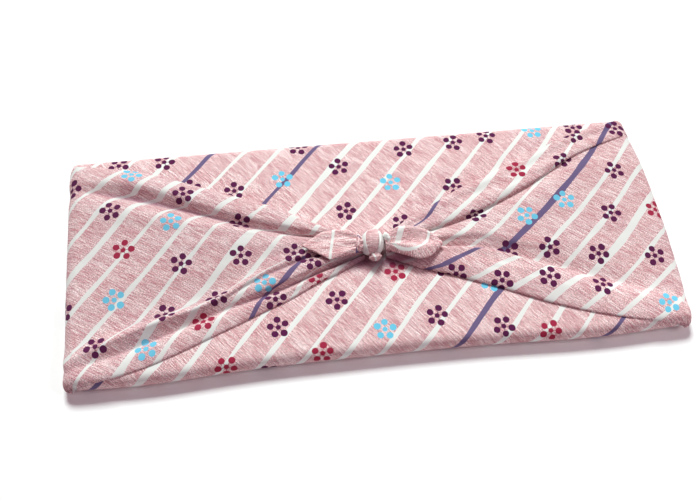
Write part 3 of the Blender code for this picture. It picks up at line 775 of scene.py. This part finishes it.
def lump_piece(name, middle, half, lean, seed, places_of, stripes, material, rough=1.0):
    """A small puffed fold of cloth: middle and half sizes in millimetres."""
    rows, around = 30, 44
    s = np.linspace(0.04, 0.96, rows)[:, None] * pi
    w = 2 * pi * np.arange(around)[None, :] / around
    nx, ny, nz = np.sin(s) * np.cos(w), np.cos(s) + 0 * w, np.sin(s) * np.sin(w)
    swell = 1 + 0.10 * rough * ripple(nx * 2.1 + 5, ny * 2.3 + nz * 1.7 + 5, seed)
    swell = swell + 0.06 * rough * ripple(nx * 5 + 9, ny * 2.1 + nz * 4 + 9, seed + 1)
    x = middle[0] + half[0] * nx * swell + lean * ny * half[1]
    y = middle[1] + half[1] * ny * swell
    z = middle[2] + half[2] * nz * swell
    grid = np.stack([x, y, z], -1) * MM
    places = places_of(x, y, z) * MM
    return closed_piece(name, grid, places, stripes, (), material, flip=True)


# ------------------------------------------------------------------ the cloth's finish, and the shade painted into its colour
class Wires:
    """Short hands for joining shader nodes."""

    def __init__(self, tree):
        self.tree = tree

    def node(self, kind, **settings):
        n = self.tree.nodes.new(kind)
        for key, value in settings.items():
            setattr(n, key, value)
        return n

    def join(self, value, socket):
        if isinstance(value, bpy.types.NodeSocket):
            self.tree.links.new(value, socket)
        else:
            socket.default_value = value

    def math(self, operation, *values, clamp=False):
        n = self.node("ShaderNodeMath", operation=operation, use_clamp=clamp)
        for k, value in enumerate(values):
            self.join(value, n.inputs[k])
        return n.outputs[0]

    def vector(self, x, y, z=0.0):
        n = self.node("ShaderNodeCombineXYZ")
        for k, value in enumerate((x, y, z)):
            self.join(value, n.inputs[k])
        return n.outputs[0]

    def parts(self, value):
        n = self.node("ShaderNodeSeparateXYZ")
        self.join(value, n.inputs[0])
        return n.outputs

    def noise(self, place, scale=1.0, detail=2.0, rough=0.5):
        n = self.node("ShaderNodeTexNoise", noise_dimensions="3D")
        self.join(place, n.inputs["Vector"])
        n.inputs["Scale"].default_value = scale
        n.inputs["Detail"].default_value = detail
        n.inputs["Roughness"].default_value = rough
        return n.outputs["Fac"]

    def ramp(self, value, low, high, to_low=0.0, to_high=1.0, smooth=True):
        n = self.node("ShaderNodeMapRange", interpolation_type="SMOOTHSTEP" if smooth else "LINEAR")
        self.join(value, n.inputs[0])
        for k, number in enumerate((low, high, to_low, to_high)):
            self.join(number, n.inputs[k + 1])
        return n.outputs[0]

    def blend(self, share, one, two):
        n = self.node("ShaderNodeMix", data_type="RGBA", clamp_factor=True)
        self.join(share, n.inputs[0])
        self.join(one, n.inputs[6])
        self.join(two, n.inputs[7])
        return n.outputs[2]

    def scaled(self, colour, share):
        n = self.node("ShaderNodeVectorMath", operation="SCALE")
        self.join(colour, n.inputs[0])
        self.join(share, n.inputs["Scale"])
        return n.outputs[0]

    def attribute(self, name):
        return self.node("ShaderNodeAttribute", attribute_name=name)


def print_material():
    mat = bpy.data.materials.new("printed_cotton")
    mat.use_nodes = True
    tree = mat.node_tree
    w = Wires(tree)
    shader = tree.nodes["Principled BSDF"]
    sp, sq, _ = w.parts(w.node("ShaderNodeUVMap", uv_map="Cloth").outputs[0])
    p, q, _ = w.parts(w.node("ShaderNodeUVMap", uv_map="Flat").outputs[0])
    # tone scales the colour down part by part; hollow is how much shade is painted in, in the folds and in the knot's
    # shadow
    tone, skew, hollow = w.parts(w.attribute("cloth").outputs["Vector"])
    tq = w.math("ADD", q, w.math("MULTIPLY", p, skew))

    # slubs: short pale threads across the stripes, thicker in some bands than in others
    def threads(across, along_, seed, low, high):
        drift = w.noise(w.vector(w.math("MULTIPLY", p, 22.0), w.math("MULTIPLY", tq, 30.0), seed), 1.0, 1.0, 0.5)
        bent = w.math("ADD", tq, w.math("MULTIPLY", drift, 0.0020))
        field = w.noise(w.vector(w.math("MULTIPLY", p, across), w.math("MULTIPLY", bent, along_), seed), 1.0, 1.0, 0.6)
        return w.ramp(w.math("ADD", field, lift), low, high)

    bands = w.noise(w.vector(w.math("MULTIPLY", p, 13.0), w.math("MULTIPLY", tq, 60.0), 9.0), 1.0, 2.0, 0.5)
    clouds = w.noise(w.vector(w.math("MULTIPLY", p, 14.0), w.math("MULTIPLY", q, 14.0), 14.0), 1.0, 2.0, 0.5)
    lift = w.math("MULTIPLY", w.math("SUBTRACT", bands, 0.5), 0.24)
    slub = threads(52.0, 1180.0, 1.0, 0.46, 0.58)
    slub2 = threads(34.0, 930.0, 5.0, 0.56, 0.63)
    shade = threads(40.0, 820.0, 11.0, 0.46, 0.61)
    pale = w.math("MAXIMUM", w.math("MULTIPLY", slub, 0.72), w.math("MULTIPLY", slub2, 1.0))
    rose = w.blend(w.ramp(clouds, 0.35, 0.7), (0.655, 0.352, 0.368, 1), (0.60, 0.336, 0.366, 1))
    rose = w.blend(w.math("MULTIPLY", w.math("SUBTRACT", 1.0, shade), 0.55), rose, (0.535, 0.245, 0.272, 1))
    ground = w.blend(pale, rose, (0.92, 0.755, 0.752, 1))
    grain = w.noise(w.vector(w.math("MULTIPLY", p, 560.0), w.math("MULTIPLY", q, 620.0), 17.0), 1.0, 0.0, 0.5)
    ground = w.scaled(ground, w.ramp(grain, 0.2, 0.8, 0.60, 1.40, smooth=False))

    # stripes with hand-drawn edges
    stripe = w.attribute("stripe")
    place, half, dye = w.parts(stripe.outputs["Vector"])
    key = w.math("MULTIPLY", place, 31.0)
    sway = w.noise(w.vector(w.math("MULTIPLY", sq, 11.0), key, 2.0), 1.0, 1.0, 0.5)
    swell = w.noise(w.vector(w.math("MULTIPLY", sq, 17.0), key, 21.0), 1.0, 1.5, 0.5)
    rag = w.noise(w.vector(w.math("MULTIPLY", sp, 160.0), w.math("MULTIPLY", sq, 420.0), 3.0), 1.0, 1.0, 0.5)
    off = w.math("ABSOLUTE", w.math("SUBTRACT", w.math("SUBTRACT", sp, place),
                                    w.math("MULTIPLY", w.math("SUBTRACT", sway, 0.5), 0.0075)))
    wide = w.math("MULTIPLY", half, w.math("ADD", 0.28, w.math("MULTIPLY", swell, 1.0)))
    gap = w.math("SUBTRACT", off, w.math("ADD", wide, w.math("MULTIPLY", w.math("SUBTRACT", rag, 0.5), 0.0011)))
    on_stripe = w.ramp(gap, -0.0003, 0.0003, 1.0, 0.0)
    stripe_dye = w.blend(dye, (0.82, 0.835, 0.81, 1), (0.155, 0.115, 0.235, 1))
    colour = w.blend(on_stripe, ground, stripe_dye)

    # blossoms: five dots round a smaller one, joined to it by fine threads
    blossom = w.attribute("blossom")
    bp, bq, turn = w.parts(blossom.outputs["Vector"])
    ink = w.attribute("dye")
    x = w.math("SUBTRACT", p, bp)
    y = w.math("SUBTRACT", q, bq)
    wob = w.noise(w.vector(w.math("MULTIPLY", p, 95.0), w.math("MULTIPLY", q, 95.0), 4.0), 1.0, 1.0, 0.5)
    far = w.math("SQRT", w.math("ADD", w.math("MULTIPLY", x, x), w.math("MULTIPLY", y, y)))
    angle = w.math("ADD", w.math("ARCTAN2", y, x), turn)
    fifth = 2 * pi / 5
    sector = w.math("FLOOR", w.math("ADD", w.math("DIVIDE", angle, fifth), 0.5))
    folded = w.math("SUBTRACT", angle, w.math("MULTIPLY", sector, fifth))
    odd = w.math("SINE", w.math("ADD", w.math("MULTIPLY", sector, 2.4), w.math("MULTIPLY", bp, 190.0)))
    folded = w.math("ADD", folded, w.math("MULTIPLY", odd, 0.05))
    dot_x = w.math("SUBTRACT", w.math("MULTIPLY", far, w.math("COSINE", folded)),
                   w.math("ADD", 0.0113, w.math("MULTIPLY", odd, 0.0004)))
    dot_y = w.math("MULTIPLY", far, w.math("SINE", folded))
    petal = w.math("SQRT", w.math("ADD", w.math("MULTIPLY", dot_x, dot_x), w.math("MULTIPLY", dot_y, dot_y)))
    size = w.math("ADD", w.math("ADD", 0.00482, w.math("MULTIPLY", odd, 0.0002)),
                  w.math("MULTIPLY", w.math("SUBTRACT", wob, 0.5), 0.0016))
    on_petal = w.ramp(w.math("SUBTRACT", petal, size), -0.00025, 0.00025, 1.0, 0.0)
    on_eye = w.ramp(w.math("SUBTRACT", far, 0.0036), -0.00025, 0.00025, 1.0, 0.0)
    line = w.ramp(w.math("ABSOLUTE", dot_y), 0.0004, 0.0008, 1.0, 0.0)
    line = w.math("MULTIPLY", line, w.math("LESS_THAN", far, 0.0105))
    line = w.math("MULTIPLY", line, w.math("MULTIPLY", ink.outputs["Alpha"], 0.75))
    on_dots = w.math("MAXIMUM", w.math("MAXIMUM", on_petal, on_eye), line)
    speck = w.noise(w.vector(w.math("MULTIPLY", p, 700.0), w.math("MULTIPLY", q, 700.0), 6.0), 1.0, 1.0, 0.5)
    inked = w.blend(w.math("MULTIPLY", speck, 0.012), ink.outputs["Color"], (0.75, 0.55, 0.58, 1))
    colour = w.blend(on_dots, colour, inked)
    # painted shade: the colour is scaled by tone, then drawn towards a deep mauve where hollow marks the folds' hollows
    # and the knot's shadow
    colour = w.blend(w.math("MULTIPLY", hollow, 0.58), w.scaled(colour, tone), (0.17, 0.045, 0.105, 1))
    w.join(colour, shader.inputs["Base Color"])

    # plain weave and the slubs' relief
    weave_p = w.math("SINE", w.math("MULTIPLY", p, 2 * pi / 0.0011))
    weave_q = w.math("SINE", w.math("MULTIPLY", q, 2 * pi / 0.0011))
    weave = w.math("MULTIPLY", weave_p, weave_q)
    relief = w.math("ADD", w.math("MULTIPLY", weave, 0.35), w.math("ADD", pale, w.math("MULTIPLY", bands, 1.2)))
    bump = w.node("ShaderNodeBump")
    bump.inputs["Strength"].default_value = 0.35
    bump.inputs["Distance"].default_value = 0.0003
    w.join(relief, bump.inputs["Height"])
    w.join(bump.outputs[0], shader.inputs["Normal"])
    rough = w.ramp(pale, 0.0, 1.0, 0.86, 0.78, smooth=False)
    w.join(rough, shader.inputs["Roughness"])
    shader.inputs["Specular IOR Level"].default_value = 0.10
    shader.inputs["Sheen Weight"].default_value = 0.03
    shader.inputs["Sheen Roughness"].default_value = 0.5
    shader.inputs["Sheen Tint"].default_value = (1.0, 0.9, 0.9, 1)
    return mat


def floor_piece():
    mesh = bpy.data.meshes.new("floor")
    mesh.from_pydata([(-6, -6, 0), (6, -6, 0), (6, 6, 0), (-6, 6, 0)], [], [(0, 1, 2, 3)])
    mat = bpy.data.materials.new("floor_white")
    mat.use_nodes = True
    shader = mat.node_tree.nodes["Principled BSDF"]
    shader.inputs["Base Color"].default_value = (0.95, 0.95, 0.955, 1)
    shader.inputs["Roughness"].default_value = 0.9
    shader.inputs["Specular IOR Level"].default_value = 0.1
    mesh.materials.append(mat)
    floor = bpy.data.objects.new("floor", mesh)
    floor.location.z = -0.0004
    bpy.context.scene.collection.objects.link(floor)


def light(name, at, size, power, colour=(1, 1, 1)):
    lamp = bpy.data.lights.new(name, "AREA")
    lamp.shape = "RECTANGLE"
    lamp.size, lamp.size_y = size
    lamp.energy = power
    lamp.color = colour
    ob = bpy.data.objects.new(name, lamp)
    ob.location = at
    from_mid = ob.location.copy()
    ob.rotation_euler = from_mid.to_track_quat("Z", "Y").to_euler()
    bpy.context.scene.collection.objects.link(ob)


def stage_lights():
    scene = bpy.context.scene
    world = bpy.data.worlds.new("studio")
    scene.world = world
    world.use_nodes = True
    back = world.node_tree.nodes["Background"]
    back.inputs[0].default_value = (1.0, 0.62, 0.76, 1)
    back.inputs[1].default_value = 0.22
    light("key", (-0.45, 5.2, 5.9), (2.6, 2.0), 765, (0.885, 0.985, 0.94))
    light("fill", (2.6, -0.6, 2.4), (1.4, 1.4), 30, (0.96, 0.92, 0.92))
    scene.view_settings.view_transform = "Standard"
    scene.view_settings.look = "None"
    scene.view_settings.exposure = 0.0


def camera():
    cam = bpy.data.cameras.new("camera")
    cam.lens = 41.59
    cam.sensor_width = 36
    cam.clip_end = 50
    ob = bpy.data.objects.new("camera", cam)
    ob.location = (-0.16087, -0.57746, 1.06308)
    ob.rotation_euler = (radians(28.9615), radians(-2.5581), radians(-7.5715))
    bpy.context.scene.collection.objects.link(ob)
    bpy.context.scene.camera = ob


def surface_area(piece):
    return sum(p.area for p in piece.data.polygons)


# ------------------------------------------------------------------ everything
cloth = print_material()
camera()
floor_piece()
stage_lights()
body = body_piece(cloth)
left = wing_piece("left_wing", LEFT_AT, LEFT_WING, LEFT_CREASES, 10, 31, LEFT_STRIPES, LEFT_BLOSSOMS,
                  (0.90, 0.95), -0.14, cloth)
right = wing_piece("right_wing", RIGHT_AT, RIGHT_WING, RIGHT_CREASES, 10, 41, RIGHT_STRIPES, RIGHT_BLOSSOMS,
                   (0.90, 1.0), -0.08, cloth)
knot = knot_piece(cloth)
left_end = ear_piece("left_end", LEFT_EAR_AT, LEFT_EAR, 51, left_places,
                     ((-57.5, 6.5, WHITE), (-20, 6, SLATE), (-150, 9, WHITE)), (), cloth)
right_end = ear_piece("right_end", RIGHT_EAR_AT, RIGHT_EAR, 61, right_places,
                      ((44, 12, WHITE), (80.5, 5.5, WHITE), (150, 9, WHITE)), (), cloth)
neck_left = lump_piece("neck_left", (-24.5, -21.5, 49), (4.6, 12, 8), 0.10, 71,
                       lambda x, y, z: np.stack([-y, x], -1), ((11, 7, SLATE), (60, 9, WHITE)), cloth)
neck_right = lump_piece("neck_right", (18.5, -17, 51), (5.0, 8, 7), -0.2, 75,
                        lambda x, y, z: np.stack([-y, x], -1), ((17, 22, WHITE), (90, 9, WHITE)), cloth)
curl = lump_piece("curl", (-1.5, -42, 43.5), (8.6, 6.8, 8), 0.1, 79,
                  lambda x, y, z: np.stack([x + 0.5 * y, z], -1), ((-26, 4, WHITE), (60, 9, WHITE)), cloth, 1.6)

bpy.context.view_layer.update()
